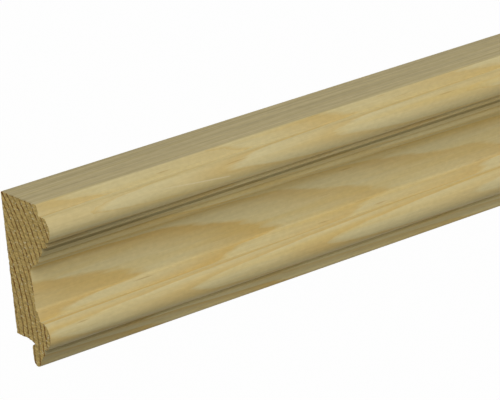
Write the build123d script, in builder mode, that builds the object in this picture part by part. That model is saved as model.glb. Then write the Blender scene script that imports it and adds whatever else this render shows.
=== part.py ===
from build123d import *
import os

# Picture frame moulding: one length of raw pine, run through a moulder and sawn off square.
# It lies on its flat back. +X runs along the length, +Y points to the outer edge of the frame
# and +Z out of the moulded face. The origin is under the middle of the stick, on the floor.

length = 1000.0

# Widths of the members, taken across the face from the outer edge to the tip of the lip. A
# crown is placed from the outer side of its bead. Three quirks of one width set off the beads.
shoulder_width = 2.8
outer_bead_width = 6.4
outer_bead_crown = 3.2
quirk_width = 1.0
cock_bead_width = 1.0
outer_fillet_width = 1.4
outer_step_width = 0.4
ogee_width = 5.6
panel_width = 9.2
inner_rise_width = 0.8
inner_fillet_width = 2.5
inner_bead_width = 7.2
inner_bead_crown = 3.3
lip_width = 4.7

# Thicknesses, taken from the flat back to each member.
thickness = 21.0
shoulder_thickness = 16.0
panel_thickness = 10.0
inner_bead_thickness = 15.7

# How far each member stands below the crown beside it, or above the sunk panel. A quirk is cut
# below the bead before it, and the member after it rises again from the floor of the quirk.
shoulder_flare = 0.7
outer_bead_lead = 2.1
outer_bead_return = 1.4
quirk_depth = 1.0
quirk_rise = 0.2
cock_bead_rise = 0.7
cock_bead_return = 2.2
cock_quirk_depth = 0.6
outer_fillet_slope = 1.0
outer_step_depth = 1.1
panel_slope = 0.4
inner_rise = 0.7
inner_fillet_slope = 0.6
inner_bead_lead = 2.8
inner_bead_return = 2.3

# Rebate behind the lip, for the glass, the picture and the backing board.
rebate_width = 6.8
rebate_depth = 6.7
lip_thickness = 3.3
relief_depth = 1.5
relief_drop = 0.8
relief_run = 3.3
relief_height = 2.3

# Small rounds that the cutters and a light sanding leave.
arris_radius = 0.4
lip_blend_radius = 1.5

# Places across the face where one member ends and the next begins.
shoulder_end = shoulder_width
outer_bead_end = shoulder_end + outer_bead_width
quirk_end = outer_bead_end + quirk_width
cock_bead_end = quirk_end + cock_bead_width
cock_quirk_end = cock_bead_end + quirk_width
outer_fillet_end = cock_quirk_end + outer_fillet_width
outer_step_end = outer_fillet_end + outer_step_width
ogee_end = outer_step_end + ogee_width
panel_end = ogee_end + panel_width
inner_rise_end = panel_end + inner_rise_width
inner_fillet_end = inner_rise_end + inner_fillet_width
inner_bead_end = inner_fillet_end + inner_bead_width
lip_quirk_end = inner_bead_end + quirk_width
face_width = lip_quirk_end + lip_width

# Heights of those places above the back.
shoulder_root = shoulder_thickness + shoulder_flare
outer_bead_foot = thickness - outer_bead_return
quirk_floor = outer_bead_foot - quirk_depth
cock_bead_crest = quirk_floor + cock_bead_rise
cock_bead_foot = cock_bead_crest - cock_bead_return
cock_quirk_floor = cock_bead_foot - cock_quirk_depth
outer_fillet_head = cock_quirk_floor + quirk_rise
outer_fillet_foot = outer_fillet_head - outer_fillet_slope
outer_step_foot = outer_fillet_foot - outer_step_depth
panel_foot = panel_thickness + panel_slope
inner_fillet_head = panel_foot + inner_rise
inner_fillet_foot = inner_fillet_head + inner_fillet_slope
inner_bead_foot = inner_bead_thickness - inner_bead_return
lip_quirk_floor = inner_bead_foot - quirk_depth
lip_head = lip_quirk_floor + quirk_rise
lip_front = rebate_depth + lip_thickness
rebate_wall = face_width - rebate_width
lip_end_radius = lip_thickness / 2

# The section is drawn looking along the stick: x runs from the outer edge to the lip, y from
# the back up to the moulded face.
section_plane = Plane(
    origin=(length / 2, face_width / 2, 0), x_dir=(0, -1, 0), z_dir=(-1, 0, 0)
)
ALONG_FACE = (1, 0)
BACK_ALONG_FACE = (-1, 0)
OUT_OF_FACE = (0, 1)

with BuildPart() as moulding:
    with BuildSketch(section_plane) as section:
        with BuildLine():
            # Outer edge and the shoulder that flares out to the first bead.
            Line((0, 0), (0, shoulder_thickness))
            Line((0, shoulder_thickness), (shoulder_end, shoulder_root))

            # Outer bead, the highest member: two arcs that share the tangent at its crown.
            outer_lead = (shoulder_end, thickness - outer_bead_lead)
            outer_crown = (shoulder_end + outer_bead_crown, thickness)
            outer_return = (outer_bead_end, outer_bead_foot)
            Line((shoulder_end, shoulder_root), outer_lead)
            TangentArc(outer_crown, outer_lead, tangent=BACK_ALONG_FACE)
            TangentArc(outer_crown, outer_return, tangent=ALONG_FACE)

            # Quirk, then the small cock bead, which falls steeply to a quirk of its own.
            cock_crest = (quirk_end, cock_bead_crest)
            cock_foot = (cock_bead_end, cock_bead_foot)
            Polyline(outer_return, (outer_bead_end, quirk_floor), (quirk_end, quirk_floor), cock_crest)
            TangentArc(cock_foot, cock_crest, tangent=OUT_OF_FACE)

            # That quirk, the sloped fillet and the step down to the ogee.
            outer_step = (outer_step_end, outer_step_foot)
            Polyline(
                cock_foot,
                (cock_bead_end, cock_quirk_floor),
                (cock_quirk_end, cock_quirk_floor),
                (cock_quirk_end, outer_fillet_head),
                (outer_fillet_end, outer_fillet_foot),
                outer_step,
            )

            # Ogee, a round over a hollow, which meet at its middle.
            panel_start = (ogee_end, panel_thickness)
            ogee_middle = (
                outer_step_end + ogee_width / 2,
                (outer_step_foot + panel_thickness) / 2,
            )
            TangentArc(outer_step, ogee_middle, tangent=ALONG_FACE)
            TangentArc(panel_start, ogee_middle, tangent=BACK_ALONG_FACE)

            # Sunk panel, the rise at its lower side and the inner fillet.
            Line(panel_start, (panel_end, panel_foot))
            TangentArc(
                (panel_end, panel_foot), (inner_rise_end, inner_fillet_head), tangent=ALONG_FACE
            )
            Line((inner_rise_end, inner_fillet_head), (inner_fillet_end, inner_fillet_foot))

            # Inner bead, made like the outer one.
            inner_lead = (inner_fillet_end, inner_bead_thickness - inner_bead_lead)
            inner_crown = (inner_fillet_end + inner_bead_crown, inner_bead_thickness)
            inner_return = (inner_bead_end, inner_bead_foot)
            Line((inner_fillet_end, inner_fillet_foot), inner_lead)
            TangentArc(inner_crown, inner_lead, tangent=BACK_ALONG_FACE)
            TangentArc(inner_crown, inner_return, tangent=ALONG_FACE)

            # Lip: quirk, splayed front, half-round end and flat rear.
            lip_end = face_width - lip_end_radius
            Polyline(
                inner_return,
                (inner_bead_end, lip_quirk_floor),
                (lip_quirk_end, lip_quirk_floor),
                (lip_quirk_end, lip_head),
                (lip_end, lip_front),
            )
            ThreePointArc(
                (lip_end, lip_front),
                (face_width, rebate_depth + lip_end_radius),
                (lip_end, rebate_depth),
            )
            lip_rear_top = (rebate_wall + relief_height, rebate_depth)
            relief_tip = (rebate_wall + relief_drop, rebate_depth + relief_depth)
            Line((lip_end, rebate_depth), lip_rear_top)

            # Cutter relief in the corner of the rebate, then the rebate wall and the back.
            relief_top = (rebate_wall, rebate_depth + relief_depth - relief_run)
            TangentArc(lip_rear_top, relief_tip, tangent=BACK_ALONG_FACE)
            TangentArc(relief_top, relief_tip, tangent=OUT_OF_FACE)
            Line(relief_top, (rebate_wall, 0))
            Line((rebate_wall, 0), (0, 0))
        make_face()
        back_corners = section.vertices().group_by(Axis.Y)[0]
        outer_arris = section.vertices().sort_by_distance((0, shoulder_thickness))[0]
        fillet([*back_corners, outer_arris], arris_radius)
        lip_shoulder = section.vertices().sort_by_distance((lip_end, lip_front))[0]
        fillet(lip_shoulder, lip_blend_radius)
    extrude(amount=length)

moulding.part.label = "moulding"

os.makedirs("parts", exist_ok=True)
export_step(moulding.part, "parts/moulding.step")
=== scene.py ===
from math import atan2, ceil, radians, tau

import bmesh
import bpy
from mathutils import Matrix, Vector, noise


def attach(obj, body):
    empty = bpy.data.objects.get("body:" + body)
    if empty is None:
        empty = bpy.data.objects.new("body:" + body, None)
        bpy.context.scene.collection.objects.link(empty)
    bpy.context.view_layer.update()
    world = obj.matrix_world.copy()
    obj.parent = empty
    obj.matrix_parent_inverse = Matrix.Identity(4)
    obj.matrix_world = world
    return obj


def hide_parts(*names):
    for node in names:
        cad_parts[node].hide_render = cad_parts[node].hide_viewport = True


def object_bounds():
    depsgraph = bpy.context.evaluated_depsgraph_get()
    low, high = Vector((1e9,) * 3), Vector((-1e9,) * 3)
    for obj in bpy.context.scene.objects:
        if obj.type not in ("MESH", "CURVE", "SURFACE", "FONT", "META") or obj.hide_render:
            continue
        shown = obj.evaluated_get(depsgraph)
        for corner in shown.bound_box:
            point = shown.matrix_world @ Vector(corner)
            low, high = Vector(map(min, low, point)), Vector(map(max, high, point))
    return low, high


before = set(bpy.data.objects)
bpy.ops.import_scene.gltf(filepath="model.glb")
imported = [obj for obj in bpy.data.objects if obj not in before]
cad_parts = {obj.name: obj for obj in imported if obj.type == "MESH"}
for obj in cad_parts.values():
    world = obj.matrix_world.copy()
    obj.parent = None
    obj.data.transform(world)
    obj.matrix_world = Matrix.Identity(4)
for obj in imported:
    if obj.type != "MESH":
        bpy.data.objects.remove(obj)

MM = 0.001
cad_low, cad_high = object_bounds()

# Camera: it stands off the sawn end, out from the moulded face and to the side of the outer
# edge, and looks down the stick through a long lens, so that the length runs away to the upper
# right of the picture.
camera_place = Vector((-936.08, 315.86, 736.41)) * MM
camera_turn = [radians(angle) for angle in (-15.824, -36.386, -6.271)]
lens_length = 261.5

camera_data = bpy.data.cameras.new("camera")
camera_data.lens = lens_length
camera_data.clip_start = 0.01
camera_data.clip_end = 100
camera = bpy.data.objects.new("camera", camera_data)
camera.location = camera_place
camera.rotation_euler = camera_turn
bpy.context.collection.objects.link(camera)
bpy.context.scene.camera = camera

# Studio: the stick lies on a wide sweep of white paper. One wide soft lamp lights it from the
# side of the outer edge, halfway up, and a pale room around it fills the undersides evenly.
lamp_side = Vector((-0.28, 0.71, 0.65))
lamp_strength = 1.81
lamp_spread = radians(40)
fill_colour = "FFFBEA"
fill_strength = 0.338
pure_white = (1, 1, 1, 1)
bpy.context.scene.view_settings.view_transform = "Standard"


def linear(hex_colour):
    """An sRGB colour such as C8B27A as linear red, green, blue and alpha."""
    parts = [int(hex_colour[i : i + 2], 16) / 255 for i in (0, 2, 4)]
    return (*(p / 12.92 if p <= 0.04045 else ((p + 0.055) / 1.055) ** 2.4 for p in parts), 1)


def add_node(tree, kind, inputs=None, **settings):
    """Adds a node with its settings. An input takes a value, or a socket or node to link. A Mix
    node of two colours has its amount at 0, the colours at 6 and 7, and gives output 2."""
    node = tree.nodes.new("ShaderNode" + kind)
    for name, value in settings.items():
        setattr(node, name, value)
    for name, value in (inputs or {}).items():
        if isinstance(value, bpy.types.Node):
            value = value.outputs[0]
        if isinstance(value, bpy.types.NodeSocket):
            tree.links.new(value, node.inputs[name])
        else:
            node.inputs[name].default_value = value
    return node


def background_rays(tree):
    """1 where the white background is looked at, straight, in a reflection or through glass."""
    path = add_node(tree, "LightPath").outputs
    straight = add_node(
        tree, "Math", {0: path["Is Camera Ray"], 1: path["Is Glossy Ray"]}, operation="MAXIMUM"
    )
    return add_node(
        tree, "Math", {0: straight, 1: path["Is Transmission Ray"]}, operation="MAXIMUM"
    )


lamp_data = bpy.data.lights.new("soft lamp", "SUN")
lamp_data.energy = lamp_strength
lamp_data.angle = lamp_spread
lamp = bpy.data.objects.new("soft lamp", lamp_data)
lamp.rotation_euler = lamp_side.to_track_quat("Z", "Y").to_euler()
bpy.context.collection.objects.link(lamp)

room = bpy.data.worlds.new("room")
room.use_nodes = True
bpy.context.scene.world = room
tree = room.node_tree
tree.nodes.clear()
fill = add_node(tree, "Background", {"Color": linear(fill_colour), "Strength": fill_strength})
backdrop = add_node(tree, "Background", {"Color": pure_white, "Strength": 1.0})
shown = add_node(tree, "MixShader", {0: background_rays(tree), 1: fill, 2: backdrop})
add_node(tree, "OutputWorld", {"Surface": shown})

# White paper sweep: matt photographer's paper, rolled out flat under the stick. It is looked at
# as almost pure white, and the rest is matt, so that it keeps a trace of the stick's shadow. A
# greyer tone meets the light that it sends back up, so the undersides aren't lit too strongly.
floor_size = 30.0
floor_gap = 0.2 * MM
paper_colour = "A6A39B"
paper_whiteness = 0.985


def new_finish(mesh, name):
    """Gives a mesh its next finish, and returns the finish's node tree, still empty."""
    finish = bpy.data.materials.new(name)
    finish.use_nodes = True
    finish.node_tree.nodes.clear()
    mesh.materials.append(finish)
    return finish.node_tree


floor_mesh = bpy.data.meshes.new("floor")
bm = bmesh.new()
bmesh.ops.create_grid(bm, x_segments=1, y_segments=1, size=floor_size / 2)
bmesh.ops.translate(bm, vec=(0, 0, cad_low.z - floor_gap), verts=bm.verts)
bm.to_mesh(floor_mesh)
bm.free()
floor = bpy.data.objects.new("floor", floor_mesh)
bpy.context.collection.objects.link(floor)

tree = new_finish(floor_mesh, "white_paper_sweep")
glowing = add_node(
    tree, "Math", {0: background_rays(tree), 1: paper_whiteness}, operation="MULTIPLY"
)
matt = add_node(tree, "BsdfDiffuse", {"Color": linear(paper_colour)})
glow = add_node(tree, "Emission", {"Color": pure_white, "Strength": 1.0})
surface = add_node(tree, "MixShader", {0: glowing, 1: matt, 2: glow})
add_node(tree, "OutputMaterial", {"Surface": surface})

# Moulding: one length of pine, run through a moulder on four sides and sawn off square at both
# ends. The section goes round from the flat back, over the outer edge, the two beads and the
# sunk panel, to the lip and the rebate behind it.
length = 1000 * MM

# Widths of the members, taken across the face from the outer edge to the tip of the lip. A crown
# is placed from the outer side of its bead.
shoulder_width = 2.8 * MM
outer_bead_width = 6.4 * MM
outer_bead_crown = 3.2 * MM
quirk_width = 1.0 * MM
cock_bead_width = 1.0 * MM
outer_fillet_width = 1.4 * MM
outer_step_width = 0.4 * MM
ogee_width = 5.6 * MM
panel_width = 9.2 * MM
inner_rise_width = 0.8 * MM
inner_fillet_width = 2.5 * MM
inner_bead_width = 7.2 * MM
inner_bead_crown = 3.3 * MM
lip_width = 4.7 * MM

# Thicknesses, taken from the flat back to each member.
thickness = 21.0 * MM
shoulder_thickness = 16.0 * MM
panel_thickness = 10.0 * MM
inner_bead_thickness = 15.7 * MM

# How far each member stands below the crown beside it, or above the sunk panel. A quirk is cut
# below the bead before it, and the member after it rises again from the floor of the quirk.
shoulder_flare = 0.7 * MM
outer_bead_lead = 2.1 * MM
outer_bead_return = 1.4 * MM
quirk_depth = 1.0 * MM
quirk_rise = 0.2 * MM
cock_bead_rise = 0.7 * MM
cock_bead_return = 2.2 * MM
cock_quirk_depth = 0.6 * MM
outer_fillet_slope = 1.0 * MM
outer_step_depth = 1.1 * MM
panel_slope = 0.4 * MM
inner_rise = 0.7 * MM
inner_fillet_slope = 0.6 * MM
inner_bead_lead = 2.8 * MM
inner_bead_return = 2.3 * MM

# Rebate behind the lip, with the round relief that the cutter leaves in its corner.
rebate_width = 6.8 * MM
rebate_depth = 6.7 * MM
lip_thickness = 3.3 * MM
lip_blend_radius = 1.5 * MM
relief_depth = 1.5 * MM
relief_drop = 0.8 * MM
relief_run = 3.3 * MM
relief_height = 2.3 * MM

# Places across the face where one member ends and the next begins.
shoulder_end = shoulder_width
outer_bead_end = shoulder_end + outer_bead_width
quirk_end = outer_bead_end + quirk_width
cock_bead_end = quirk_end + cock_bead_width
cock_quirk_end = cock_bead_end + quirk_width
outer_fillet_end = cock_quirk_end + outer_fillet_width
outer_step_end = outer_fillet_end + outer_step_width
ogee_middle = outer_step_end + ogee_width / 2
ogee_end = outer_step_end + ogee_width
panel_end = ogee_end + panel_width
inner_rise_end = panel_end + inner_rise_width
inner_fillet_end = inner_rise_end + inner_fillet_width
inner_bead_top = inner_fillet_end + inner_bead_crown
inner_bead_end = inner_fillet_end + inner_bead_width
lip_quirk_end = inner_bead_end + quirk_width
face_width = lip_quirk_end + lip_width
lip_radius = lip_thickness / 2
lip_end = face_width - lip_radius
rebate_wall = face_width - rebate_width

# Heights of those places above the back.
quirk_floor = thickness - outer_bead_return - quirk_depth
cock_bead_foot = quirk_floor + cock_bead_rise - cock_bead_return
cock_quirk_floor = cock_bead_foot - cock_quirk_depth
outer_fillet_foot = cock_quirk_floor + quirk_rise - outer_fillet_slope
outer_step_foot = outer_fillet_foot - outer_step_depth
inner_fillet_head = panel_thickness + panel_slope + inner_rise
lip_quirk_floor = inner_bead_thickness - inner_bead_return - quirk_depth
lip_head = lip_quirk_floor + quirk_rise
lip_front = rebate_depth + lip_thickness
relief_tip = rebate_depth + relief_depth

# The section is drawn at the low end of the stick, and its arcs in steps of the length below.
curve_step = 0.25 * MM
low_end = Vector((cad_low.x, cad_high.y, cad_low.z))
ALONG = Vector((1, 0, 0))
FACE = Vector((0, -1, 0))
OUT = Vector((0, 0, 1))


def at(across, height):
    """A point of the section, from its distance across the face and its height."""
    return low_end + across * FACE + height * OUT


def run_to(bm, tip, place):
    """Draws the section on from its tip in a straight line, and returns the new tip."""
    made = bmesh.ops.extrude_vert_indiv(bm, verts=[tip])
    made["verts"][0].co = place
    return made["verts"][0]


def turn_to(bm, tip, place, leaving=None, arriving=None):
    """Draws the section on in an arc, tangent to the direction it leaves or arrives in."""
    chord = place - tip.co
    if leaving is None:
        leaving = -arriving.reflect(chord.normalized())
    side = ALONG.cross(leaving)
    radius = chord.length_squared / (2 * chord.dot(side))
    angle = 2 * atan2(chord.dot(side), chord.dot(leaving))
    steps = max(2, ceil(abs(angle * radius) / curve_step))
    made = bmesh.ops.spin(
        bm, geom=[tip], cent=tip.co + radius * side, axis=ALONG, angle=angle, steps=steps
    )
    return made["geom_last"][0]


# Outer edge, the shoulder that flares out to the first bead, and the outer bead.
bm = bmesh.new()
tip = bm.verts.new(at(0, 0))
tip = run_to(bm, tip, at(0, shoulder_thickness))
tip = run_to(bm, tip, at(shoulder_end, shoulder_thickness + shoulder_flare))
tip = run_to(bm, tip, at(shoulder_end, thickness - outer_bead_lead))
tip = turn_to(bm, tip, at(shoulder_end + outer_bead_crown, thickness), arriving=FACE)
tip = turn_to(bm, tip, at(outer_bead_end, thickness - outer_bead_return), leaving=FACE)

# Quirk, then the small cock bead, which falls steeply to a quirk of its own.
tip = run_to(bm, tip, at(outer_bead_end, quirk_floor))
tip = run_to(bm, tip, at(quirk_end, quirk_floor))
tip = run_to(bm, tip, at(quirk_end, quirk_floor + cock_bead_rise))
tip = turn_to(bm, tip, at(cock_bead_end, cock_bead_foot), arriving=-OUT)
tip = run_to(bm, tip, at(cock_bead_end, cock_quirk_floor))
tip = run_to(bm, tip, at(cock_quirk_end, cock_quirk_floor))

# Sloped fillet, the step, and the ogee, a round over a hollow.
tip = run_to(bm, tip, at(cock_quirk_end, cock_quirk_floor + quirk_rise))
tip = run_to(bm, tip, at(outer_fillet_end, outer_fillet_foot))
tip = run_to(bm, tip, at(outer_step_end, outer_step_foot))
tip = turn_to(bm, tip, at(ogee_middle, (outer_step_foot + panel_thickness) / 2), leaving=FACE)
tip = turn_to(bm, tip, at(ogee_end, panel_thickness), arriving=FACE)

# Sunk panel, the rise at its lower side, the inner fillet and the inner bead.
tip = run_to(bm, tip, at(panel_end, panel_thickness + panel_slope))
tip = turn_to(bm, tip, at(inner_rise_end, inner_fillet_head), leaving=FACE)
tip = run_to(bm, tip, at(inner_fillet_end, inner_fillet_head + inner_fillet_slope))
tip = run_to(bm, tip, at(inner_fillet_end, inner_bead_thickness - inner_bead_lead))
tip = turn_to(bm, tip, at(inner_bead_top, inner_bead_thickness), arriving=FACE)
tip = turn_to(bm, tip, at(inner_bead_end, lip_quirk_floor + quirk_depth), leaving=FACE)

# Third quirk and the lip. The lip's splayed front runs into its half-round end through a small
# hollow, whose middle lies its own radius off the splay, and both radii away from the middle of
# the half-round.
tip = run_to(bm, tip, at(inner_bead_end, lip_quirk_floor))
tip = run_to(bm, tip, at(lip_quirk_end, lip_quirk_floor))
tip = run_to(bm, tip, at(lip_quirk_end, lip_head))
splay = (at(lip_end, lip_front) - tip.co).normalized()
off_splay = splay.cross(ALONG)
round_middle = at(lip_end, rebate_depth + lip_radius)
apart = lip_radius + lip_blend_radius
offset = tip.co + lip_blend_radius * off_splay - round_middle
behind = offset.dot(splay)
splay_length = -behind - (behind**2 - offset.length_squared + apart**2) ** 0.5
hollow_middle = round_middle + offset + splay_length * splay
round_start = round_middle.lerp(hollow_middle, lip_radius / apart)
tip = run_to(bm, tip, hollow_middle - lip_blend_radius * off_splay)
tip = turn_to(bm, tip, round_start, leaving=splay)
leaving = ALONG.cross(round_start - round_middle).normalized()
tip = turn_to(bm, tip, at(lip_end, rebate_depth), leaving=leaving)

# Flat rear of the lip, the relief in the corner of the rebate, its wall and the back.
tip = run_to(bm, tip, at(rebate_wall + relief_height, rebate_depth))
tip = turn_to(bm, tip, at(rebate_wall + relief_drop, relief_tip), leaving=-FACE)
tip = turn_to(bm, tip, at(rebate_wall, relief_tip - relief_run), arriving=-OUT)
tip = run_to(bm, tip, at(rebate_wall, 0))
tip = run_to(bm, tip, at(0, 0))
bmesh.ops.remove_doubles(bm, verts=bm.verts, dist=0.001 * MM)

made = bmesh.ops.extrude_edge_only(bm, edges=bm.edges)
far_ring = [v for v in made["geom"] if isinstance(v, bmesh.types.BMVert)]
bmesh.ops.translate(bm, vec=(length, 0, 0), verts=far_ring)
bmesh.ops.recalc_face_normals(bm, faces=bm.faces)

# Corners along the stick. Those of the back and the outer edge were eased the most, and the
# others have the little that knives and a light sanding leave.
arris_radius = 0.4 * MM
cutter_corner = 0.09 * MM
least_turn = radians(20)


def is_arris(edge):
    """Whether this is a corner of the back or of the outer edge."""
    y, z = edge.verts[0].co.yz
    at_back = z < cad_low.z + MM and y > cad_low.y + lip_width
    at_outer_edge = y > cad_high.y - 0.1 * MM and z > shoulder_thickness - MM
    return at_back or at_outer_edge


lengthways = [e for e in bm.edges if abs(e.verts[0].co.x - e.verts[1].co.x) > length / 2]
corners = [e for e in lengthways if e.calc_face_angle(0) > least_turn]
arrises = [e for e in corners if is_arris(e)]
fine_corners = [e for e in corners if e not in arrises]
for edges, width in ((arrises, arris_radius), (fine_corners, cutter_corner)):
    bmesh.ops.bevel(
        bm, geom=edges, offset=width, offset_type="OFFSET", segments=3,
        profile=0.5, affect="EDGES", material=-1, clamp_overlap=True,
    )

# Cuts across the long faces: one close to each end, so that the saw's fuzz stays there, and the
# others evenly along the stick.
end_strip = 0.6 * MM
divisions = 24
even_cuts = [length * k / divisions for k in range(1, divisions)]
for place in (end_strip, length - end_strip, *even_cuts):
    bmesh.ops.bisect_plane(
        bm, geom=bm.verts[:] + bm.edges[:] + bm.faces[:],
        plane_co=(cad_low.x + place, 0, 0), plane_no=(1, 0, 0),
    )


def section_place(vert):
    """Where a vertex lies in the section, whatever its place along the stick."""
    return round(vert.co.y, 7), round(vert.co.z, 7)


# How far round the section each of its corners lies, walked from the corner of the back and the
# outer edge, over the face and home along the back. Two places closer than a hair count as one.
hair = 0.01 * MM
rim = [v for v in bm.verts if abs(v.co.x - cad_low.x) < hair]
first = max(rim, key=lambda v: v.co.y - v.co.z)
last, here, girth, walked = None, first, 0.0, {}
while here != first or last is None:
    walked[section_place(here)] = girth
    beside = [e.other_vert(here) for e in here.link_edges if e.is_boundary]
    onward = max(beside, key=lambda v: (v != last, v.co.z))
    girth += (onward.co - here.co).length
    last, here = here, onward

# Each long face is told its finish, whether it lies in a quirk, where painted shade darkens
# the narrow groove as shade would fall there, and its place in the flat layout. There the skin of
# the stick is one strip over most of the sheet. Its left, foot, width and height are given as
# parts of the sheet's size.
MOULDED, SIZED, SAWN = 0, 1, 2
square_on = 0.99
quirk_slack = 0.03 * MM
quirks = (
    (outer_bead_end, quirk_end), (cock_bead_end, cock_quirk_end), (inner_bead_end, lip_quirk_end)
)
strip_left, strip_width = 0.004, 0.992
strip_foot, strip_height = 0.17, 0.826
layout = bm.loops.layers.uv.new("OFBake")
painted_quirk_shade = bm.faces.layers.float.new("painted_quirk_shade")
for face in bm.faces:
    middle = face.calc_center_median()
    across = cad_high.y - middle.y
    in_quirk = any(a - quirk_slack < across < b + quirk_slack for a, b in quirks)
    face[painted_quirk_shade] = 1.0 if in_quirk and middle.z > panel_thickness else 0.0
    runs = [walked[section_place(loop.vert)] for loop in face.loops]
    wraps = max(runs) - min(runs) > girth / 2
    for loop, run in zip(face.loops, runs):
        run = girth if wraps and run < girth / 2 else run
        along = (loop.vert.co.x - cad_low.x) / length
        up_strip = strip_foot + strip_height * run / girth
        loop[layout].uv = (strip_left + strip_width * along, up_strip)
    on_edge = face.normal.y > square_on and middle.y > cad_high.y - hair
    on_back = face.normal.z < -square_on and middle.z < cad_low.z + hair
    face.material_index = SIZED if on_edge or on_back else MOULDED

# Two painted tones that follow the members of the face, each given by its strength at places
# across it. Painted shade darkens the hollows under the two beads near the sawn end. Painted
# light lifts the ogee, its step and the first quirk to a lighter tone.
hollow_shade_stops = (
    (outer_bead_end - 3.2 * MM, 0), (outer_bead_end - 0.4 * MM, 1), (outer_step_end, 1),
    (ogee_end, 0), (inner_bead_end - 3.2 * MM, 0), (inner_bead_end - 0.4 * MM, 1),
    (face_width, 1),
)
ogee_light_stops = (
    (outer_bead_end - 0.9 * MM, 0), (outer_bead_end - 0.4 * MM, 0.6),
    (quirk_end - 0.05 * MM, 0.6), (quirk_end + 0.05 * MM, 0),
    (outer_fillet_end - 0.15 * MM, 0), (outer_fillet_end, 1),
    (ogee_end - 1.2 * MM, 1), (ogee_end, 0),
)
for name, stops in (("painted_hollow_shade", hollow_shade_stops), ("painted_ogee_light", ogee_light_stops)):
    layer = bm.verts.layers.float.new(name)
    for vert in bm.verts:
        across = cad_high.y - vert.co.y
        for (near, low_tone), (far, high_tone) in zip(stops, stops[1:]):
            if near < across <= far and vert.co.z > rebate_depth + lip_radius:
                part = (across - near) / (far - near)
                vert[layer] = low_tone + (high_tone - low_tone) * part

# Sawn ends. Each is closed and divided into a fine grid. Its rim is chipped a little, and the
# whole end is torn in by the saw's teeth, whose strokes run through the thickness. A share is the
# part of the full depth that is there everywhere, and a change is what the noise makes of it.
end_grid = 0.4 * MM
rim_chip = 0.16 * MM
chip_size = 0.8 * MM
chip_share, chip_change = 0.3, 0.9
saw_tear = 0.2 * MM
tear_size = 0.9 * MM
tear_share, tear_change, stroke_change = 0.45, 0.5, 0.3
stroke_width, stroke_height, stroke_start = 0.6, 3.0, 5 * MM     # the first two in mm
finer_marks = 0.7, 2.0     # how fast they grow fainter, and how much finer each step is
end_width, end_height, end_foot = 0.32, 0.149, 0.008     # in the flat layout, under the strip
for end_x, inward, end_left in ((cad_low.x, 1, 0.01), (cad_high.x, -1, 0.35)):
    rim = [
        e for e in bm.edges
        if e.is_boundary and all(abs(v.co.x - end_x) < hair for v in e.verts)
    ]
    cap = bmesh.ops.contextual_create(bm, geom=rim)["faces"]
    spans = ((Vector((0, 1, 0)), cad_low.y, cad_high.y), (OUT, cad_low.z, cad_high.z))
    for axis, start, stop in spans:
        cuts = ceil((stop - start) / end_grid)
        for k in range(1, cuts):
            edges = {e for f in cap for e in f.edges}
            verts = {v for f in cap for v in f.verts}
            spot = axis * (start + (stop - start) * k / cuts)
            cut = bmesh.ops.bisect_plane(
                bm, geom=[*cap, *edges, *verts], plane_co=spot, plane_no=axis
            )
            cap = [g for g in cut["geom"] if isinstance(g, bmesh.types.BMFace)]
    for face in cap:
        face.material_index = SAWN
        for loop in face.loops:
            width = (cad_high.y - loop.vert.co.y) / face_width
            height = (loop.vert.co.z - cad_low.z) / thickness
            loop[layout].uv = (end_left + end_width * width, end_foot + end_height * height)
    bmesh.ops.recalc_face_normals(bm, faces=bm.faces)
    bm.normal_update()
    end_verts = {v for f in cap for v in f.verts}
    for vert in end_verts:
        if any(face.material_index != SAWN for face in vert.link_faces):
            outward = Vector((0, *vert.normal.yz)).normalized()
            chipped = noise.fractal(vert.co / chip_size, *finer_marks, 2)
            part = min(1, max(0, chip_share + chip_change * chipped))
            vert.co -= outward * rim_chip * part
    for vert in end_verts:
        torn = noise.fractal(vert.co / tear_size, *finer_marks, 3)
        on_stroke = vert.co.y / stroke_width, vert.co.z / stroke_height, stroke_start
        stroke = noise.noise(Vector(on_stroke) / MM)
        part = min(1, max(0, tear_share + tear_change * torn + stroke_change * stroke))
        vert.co.x += inward * saw_tear * part

sharp_corner = radians(40)
bmesh.ops.recalc_face_normals(bm, faces=bm.faces)
moulding_mesh = bpy.data.meshes.new("moulding_stock")
bm.to_mesh(moulding_mesh)
bm.free()
moulding_mesh.shade_smooth()
moulding_mesh.set_sharp_from_angle(angle=sharp_corner)
moulding = bpy.data.objects.new("moulding_stock", moulding_mesh)
bpy.context.collection.objects.link(moulding)

# Growth rings, in mm: the pith of the tree ran behind the back, under the inner bead, and its
# trunk tapered along the stick. The first ring's number also picks which years' summer wood came
# out hard. Between the narrow years' two distances from the pith, part of a ring is gained.
pith_y = -14.4
pith_z = -44.0
ring_width = 2.159
rings_per_length = 0.0225
first_ring = 3920.974
narrow_years = 55.6, 59.3
rings_gained = 0.4
# How the rings wander: how many rings deep, how long along and across, and where each starts.
ring_waves = ((0.158, 164.5, 58.6, 2.62), (0.139, 141.3, -130.9, 0.3))
# How ragged they are: how long and wide the flecks are, and how many rings deep.
ring_flecks = ((22, 3.0, 0.3), (7, 1.1, 0.16))
# How much latewood there is as the year goes on, once the last year's has given way.
latewood_tones = ((0.10, 0.0), (0.3, 0.08), (0.58, 0.4), (0.92, 1.0))
weakest_year, strongest_year = 0.2, 0.74


def mark_scale(along, across, through):
    """The scale of a pattern whose marks are this long in mm along the stick, across its face
    and through its thickness."""
    return 1 / along, 1 / across, 1 / through


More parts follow.
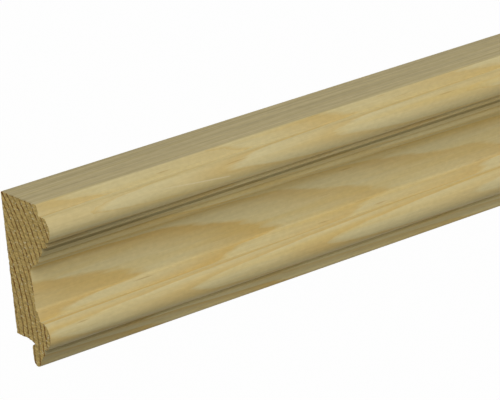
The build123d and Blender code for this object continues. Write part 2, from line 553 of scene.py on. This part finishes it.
def growth_rings(tree):
    """The grain seen on every face. Gives the place in mm, how much latewood is there, how far
    the year had gone, and how hard that year's summer wood is."""
    spot = add_node(tree, "TexCoord").outputs["Object"]
    place = add_node(tree, "VectorMath", {0: spot, "Scale": 1 / MM}, operation="SCALE")
    off_pith = add_node(
        tree, "Mapping", {"Vector": place, "Location": (0, -pith_y, -pith_z), "Scale": (0, 1, 1)}
    )
    radius = add_node(tree, "VectorMath", {0: off_pith}, operation="LENGTH").outputs["Value"]
    along = add_node(tree, "SeparateXYZ", {0: place}).outputs["X"]
    tapered = add_node(
        tree, "Math", {0: along, 1: rings_per_length, 2: first_ring}, operation="MULTIPLY_ADD"
    )
    count = add_node(
        tree, "Math", {0: radius, 1: 1 / ring_width, 2: tapered}, operation="MULTIPLY_ADD"
    )
    gained = add_node(
        tree, "MapRange",
        {
            "Value": radius, "From Min": narrow_years[0], "From Max": narrow_years[1],
            "To Max": rings_gained,
        },
    )
    count = add_node(tree, "Math", {0: count, 1: gained}, operation="ADD")
    for depth, wave_length, wave_width, start in ring_waves:
        phase = add_node(
            tree, "VectorMath", {0: place, 1: (tau / wave_length, tau / wave_width, 0)},
            operation="DOT_PRODUCT",
        ).outputs["Value"]
        started = add_node(tree, "Math", {0: phase, 1: start}, operation="ADD")
        swing = add_node(tree, "Math", {0: started}, operation="SINE")
        count = add_node(tree, "Math", {0: swing, 1: depth, 2: count}, operation="MULTIPLY_ADD")
    for fleck_length, fleck_width, depth in ring_flecks:
        scale = mark_scale(fleck_length, fleck_width, fleck_width)
        flecked = add_node(tree, "Mapping", {"Vector": place, "Scale": scale})
        ragged = add_node(tree, "TexNoise", {"Vector": flecked, "Scale": 1.0, "Detail": 2.0})
        count = add_node(tree, "Math", {0: ragged, 1: depth, 2: count}, operation="MULTIPLY_ADD")
    season = add_node(tree, "Math", {0: count}, operation="FRACT")
    ramp = add_node(tree, "ValToRGB", {"Fac": season})
    stops = ramp.color_ramp.elements
    stops[0].position, stops[0].color = 0.0, (1, 1, 1, 1)
    stops[1].position, stops[1].color = 1.0, (1, 1, 1, 1)
    for position, amount in latewood_tones:
        stops.new(position).color = (amount, amount, amount, 1)
    year = add_node(tree, "Math", {0: count}, operation="FLOOR")
    summer = add_node(tree, "TexWhiteNoise", {"W": year}, noise_dimensions="1D").outputs["Value"]
    strength = add_node(
        tree, "MapRange", {"Value": summer, "To Min": weakest_year, "To Max": strongest_year}
    )
    latewood = add_node(tree, "Math", {0: ramp, 1: strength}, operation="MULTIPLY")
    return place, latewood, season, summer


def toned(tree, wood, pattern, low, high, span=(0.3, 0.7)):
    """The wood with its brightness times low to high, as a pattern rises over its span. Noise
    keeps almost wholly to the span given here."""
    tone = add_node(
        tree, "MapRange",
        {
            "Value": pattern, "From Min": span[0], "From Max": span[1],
            "To Min": low, "To Max": high,
        },
    )
    return add_node(tree, "VectorMath", {0: wood, "Scale": tone}, operation="SCALE")


# Moulded pine, for the face, the lip and the rebate: cut smooth by the moulder's fast knives and
# left bare. It gives the eye a pale cream wood with honey-coloured flames, nearly matt, with a
# faint sheen along the fibres.
spring_wood, summer_wood = "CDC093", "C3A25A"
resin_streak = "CBB26E"
open_duct = "A07B3C"
pale_scratch = "F4EFD8"
tree = new_finish(moulding_mesh, "moulded_bare_pine")
place, latewood, *_ = growth_rings(tree)
from_middle = add_node(tree, "SeparateXYZ", {0: place}).outputs["X"]
wood = add_node(
    tree, "Mix", {0: latewood, 6: linear(spring_wood), 7: linear(summer_wood)}, data_type="RGBA"
).outputs[2]

# Long warm streaks, as the resin in the wood comes and goes.
scale = mark_scale(80, 2.5, 2.5)
streak_grid = add_node(tree, "Mapping", {"Vector": place, "Scale": scale})
streak = add_node(tree, "TexNoise", {"Vector": streak_grid, "Scale": 1.0, "Detail": 2.0})
warmth = add_node(
    tree, "MapRange", {"Value": streak, "From Min": 0.45, "From Max": 0.75, "To Max": 0.5}
)
wood = add_node(
    tree, "Mix", {0: warmth, 6: wood, 7: linear(resin_streak)}, data_type="RGBA"
).outputs[2]

# Fibres are 0.03 mm wide, too fine to show, so each mark stands for a bundle of them.
scale = mark_scale(16, 0.45, 0.45)
fibre_grid = add_node(tree, "Mapping", {"Vector": place, "Scale": scale})
fibre = add_node(
    tree, "TexNoise", {"Vector": fibre_grid, "Scale": 1.0, "Detail": 3.0, "Roughness": 0.6}
)
wood = toned(tree, wood, fibre, 0.965, 1.035)

# Nap: small patches where the cut fibres stand up a little and catch the light.
scale = mark_scale(1.6, 0.8, 0.8)
nap_grid = add_node(tree, "Mapping", {"Vector": place, "Scale": scale})
nap = add_node(tree, "TexNoise", {"Vector": nap_grid, "Scale": 1.0, "Detail": 2.0})
wood = toned(tree, wood, nap, 0.96, 1.04)

# Painted shade: the quirks are darkened, as shade falls in the narrow grooves.
quirk_shade = add_node(tree, "Attribute", attribute_name="painted_quirk_shade").outputs["Fac"]
wood = toned(tree, wood, quirk_shade, 1.0, 0.86, span=(0, 1))

# Painted shade darkens the hollows under the beads near the sawn end, and fades out along the
# stick.
sawn_end = cad_low.x / MM
end_shade_length = 65     # mm
end_shade_depth = 0.27
in_hollow = add_node(tree, "Attribute", attribute_name="painted_hollow_shade").outputs["Fac"]
near_end = add_node(
    tree, "MapRange",
    {
        "Value": from_middle, "From Min": sawn_end, "From Max": sawn_end + end_shade_length,
        "To Min": end_shade_depth, "To Max": 0,
    },
    interpolation_type="SMOOTHERSTEP",
)
painted_end_shade = add_node(tree, "Math", {0: in_hollow, 1: near_end}, operation="MULTIPLY")
end_shade_factor = add_node(tree, "Math", {0: 1.0, 1: painted_end_shade}, operation="SUBTRACT")
wood = add_node(tree, "VectorMath", {0: wood, "Scale": end_shade_factor}, operation="SCALE")

# Painted light lifts the ogee, its step and the first quirk to a lighter tone.
pale = add_node(tree, "Attribute", attribute_name="painted_ogee_light").outputs["Fac"]
wood = toned(tree, wood, pale, 1.0, 1.15, span=(0, 1))

# Resin ducts, cut open here and there as short brown lines. They are 0.2 mm wide, and drawn wider
# so that they show.
scale = mark_scale(9, 0.6, 0.6)
duct_grid = add_node(tree, "Mapping", {"Vector": place, "Scale": scale})
duct = add_node(tree, "TexNoise", {"Vector": duct_grid, "Scale": 1.0, "Detail": 0.0})
ducts = add_node(
    tree, "MapRange", {"Value": duct, "From Min": 0.80, "From Max": 0.88, "To Max": 0.4}
)
wood = add_node(
    tree, "Mix", {0: ducts, 6: wood, 7: linear(open_duct)}, data_type="RGBA"
).outputs[2]

# A fine pale scratch runs slantwise over the crown of the outer bead. It starts faintly 31 mm
# from the sawn end, is plain from 47 mm on and stops short at 55 mm.
scratch_slant = 0.105
scratch_across = -30.82     # where its line would cross the middle of the stick
scratch_core, scratch_edge = 0.06, 0.24
scratch_strength = 0.23
scratch_start = sawn_end + 31.0, sawn_end + 47.0
scratch_stop = sawn_end + 54.6, sawn_end + 55.4
slanted = add_node(
    tree, "VectorMath", {0: place, 1: (scratch_slant, 1, 0)}, operation="DOT_PRODUCT"
).outputs["Value"]
off_scratch = add_node(tree, "Math", {0: slanted, 1: scratch_across}, operation="SUBTRACT")
off_scratch = add_node(tree, "Math", {0: off_scratch}, operation="ABSOLUTE")
line = add_node(
    tree, "MapRange",
    {
        "Value": off_scratch, "From Min": scratch_core, "From Max": scratch_edge,
        "To Min": scratch_strength, "To Max": 0,
    },
)
begun = add_node(
    tree, "MapRange",
    {"Value": from_middle, "From Min": scratch_start[0], "From Max": scratch_start[1]},
)
ended = add_node(
    tree, "MapRange",
    {
        "Value": from_middle, "From Min": scratch_stop[0], "From Max": scratch_stop[1],
        "To Min": 1.0, "To Max": 0.0,
    },
)
scratched = add_node(tree, "Math", {0: line, 1: begun}, operation="MULTIPLY")
scratched = add_node(tree, "Math", {0: scratched, 1: ended}, operation="MULTIPLY")
wood = add_node(
    tree, "Mix", {0: scratched, 6: wood, 7: linear(pale_scratch)}, data_type="RGBA"
).outputs[2]

# The fibres lie as fine ridges, and the raised ones are the smoother.
sheen = add_node(
    tree, "MapRange",
    {"Value": fibre, "From Min": 0.3, "From Max": 0.7, "To Min": 0.66, "To Max": 0.54},
)
grain = add_node(tree, "Bump", {"Height": fibre, "Strength": 0.3, "Distance": 0.03 * MM})
surface = add_node(
    tree, "BsdfPrincipled",
    {
        "Base Color": wood, "Roughness": sheen, "IOR": 1.45, "Specular IOR Level": 0.2,
        "Normal": grain,
    },
)
add_node(tree, "OutputMaterial", {"Surface": surface})

# Sized pine, for the outer edge and the back: planed to size some time before the face was cut.
# It is greyer and duller than the face, a slightly woolly wood with long fine lines and little
# of the rings' colour.
grey_spring, grey_summer = "BDB08A", "B1A375"
skimmed_wood = "C9BB88"
tree = new_finish(moulding_mesh, "sized_pine_greyer")
place, latewood, *_ = growth_rings(tree)
wood = add_node(
    tree, "Mix", {0: latewood, 6: linear(grey_spring), 7: linear(grey_summer)}, data_type="RGBA"
).outputs[2]

# Long fine lines, where grime has sunk into the open grain.
scale = mark_scale(90, 0.9, 0.9)
line_grid = add_node(tree, "Mapping", {"Vector": place, "Scale": scale})
fine_line = add_node(tree, "TexNoise", {"Vector": line_grid, "Scale": 1.0, "Detail": 1.0})
wood = toned(tree, wood, fine_line, 0.89, 1.07, span=(0.35, 0.65))

# Nap, and bundles of fibres, which are again too fine to show one by one.
scale = mark_scale(1.8, 1, 1.1)
nap_grid = add_node(tree, "Mapping", {"Vector": place, "Scale": scale})
nap = add_node(tree, "TexNoise", {"Vector": nap_grid, "Scale": 1.0, "Detail": 2.0})
wood = toned(tree, wood, nap, 0.96, 1.04)
scale = mark_scale(14, 0.5, 0.5)
fibre_grid = add_node(tree, "Mapping", {"Vector": place, "Scale": scale})
fibre = add_node(
    tree, "TexNoise", {"Vector": fibre_grid, "Scale": 1.0, "Detail": 3.0, "Roughness": 0.65}
)
wood = toned(tree, wood, fibre, 0.92, 1.06)

# Along the top of the outer edge the easing of the arris has skimmed off the grey, in a ragged
# band. It comes in between the two heights in mm, with the raggedness added to the true height.
skim_raggedness = 3.0
skim_start, skim_full = 16.3, 17.6
scale = mark_scale(30, 1, 1.2)
skim_grid = add_node(tree, "Mapping", {"Vector": place, "Scale": scale})
skim = add_node(tree, "TexNoise", {"Vector": skim_grid, "Scale": 1.0, "Detail": 2.0})
height = add_node(tree, "SeparateXYZ", {0: place}).outputs["Z"]
reach = add_node(
    tree, "Math", {0: skim, 1: skim_raggedness, 2: height}, operation="MULTIPLY_ADD"
)
skimmed = add_node(
    tree, "MapRange",
    {"Value": reach, "From Min": skim_start, "From Max": skim_full, "To Max": 0.9},
)
wood = add_node(
    tree, "Mix", {0: skimmed, 6: wood, 7: linear(skimmed_wood)}, data_type="RGBA"
).outputs[2]
wool = add_node(tree, "Bump", {"Height": fibre, "Strength": 0.5, "Distance": 0.05 * MM})
surface = add_node(
    tree, "BsdfPrincipled",
    {
        "Base Color": wood, "Roughness": 0.78, "IOR": 1.45, "Specular IOR Level": 0.2,
        "Normal": wool,
    },
)
add_node(tree, "OutputMaterial", {"Surface": surface})

# Sawn end grain: cut square by a circular saw and left as it was. It gives the eye a rough face,
# darker than the others, as the open fibres drink the light, with the hard summer wood in thin
# reddish lines.
open_spring, hard_summer = "C1A96B", "6B400F"
tuft_and_glint = "EEE3BC"
tree = new_finish(moulding_mesh, "sawn_pine_end_grain")
place, _, season, summer = growth_rings(tree)

# The lines start late in the year, are stronger in some years than in others, and come out
# patchy, since the saw has smeared them.
line_start, line_full = 0.64, 0.88
scale = mark_scale(1, 2.6, 1.3)
patch_grid = add_node(tree, "Mapping", {"Vector": place, "Scale": scale})
patch = add_node(tree, "TexNoise", {"Vector": patch_grid, "Scale": 1.0, "Detail": 2.0})
patchy = add_node(
    tree, "MapRange",
    {"Value": patch, "From Min": 0.35, "From Max": 0.62, "To Min": 0.5, "To Max": 1.3},
)
ripe = add_node(
    tree, "MapRange", {"Value": season, "From Min": line_start, "From Max": line_full}
)
dense = add_node(tree, "MapRange", {"Value": summer, "To Min": 0.55})
lines = add_node(tree, "Math", {0: ripe, 1: dense}, operation="MULTIPLY")
hard = add_node(tree, "Math", {0: lines, 1: patchy}, operation="MULTIPLY", use_clamp=True)
wood = add_node(
    tree, "Mix", {0: hard, 6: linear(open_spring), 7: linear(hard_summer)}, data_type="RGBA"
).outputs[2]

# Strokes of the teeth through the thickness. Painted shade darkens their grooves, and the
# ridges between them are painted lighter.
scale = mark_scale(1, 0.5, 1.6)
stroke_grid = add_node(tree, "Mapping", {"Vector": place, "Scale": scale})
stroke = add_node(
    tree, "TexNoise", {"Vector": stroke_grid, "Scale": 1.0, "Detail": 3.0, "Roughness": 0.7}
)
wood = toned(tree, wood, stroke, 0.74, 1.66)

# Here and there torn fibre shows in pale spots, painted near white: partly the fibres' own
# lighter colour, partly painted glints. A real spot is half as wide, too fine to show.
scale = mark_scale(1, 0.75, 0.9)
tuft_grid = add_node(tree, "Mapping", {"Vector": place, "Scale": scale})
tuft = add_node(tree, "TexNoise", {"Vector": tuft_grid, "Scale": 1.0, "Detail": 1.0})
tufts_and_glints = add_node(
    tree, "MapRange", {"Value": tuft, "From Min": 0.63, "From Max": 0.71, "To Max": 0.85}
)
wood = add_node(
    tree, "Mix", {0: tufts_and_glints, 6: wood, 7: linear(tuft_and_glint)}, data_type="RGBA"
).outputs[2]
torn = add_node(tree, "Bump", {"Height": stroke, "Strength": 0.7, "Distance": 0.3 * MM})
surface = add_node(
    tree, "BsdfPrincipled",
    {
        "Base Color": wood, "Roughness": 0.85, "IOR": 1.45, "Specular IOR Level": 0.3,
        "Normal": torn,
    },
)
add_node(tree, "OutputMaterial", {"Surface": surface})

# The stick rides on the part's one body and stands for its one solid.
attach(moulding, "root")
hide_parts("moulding")
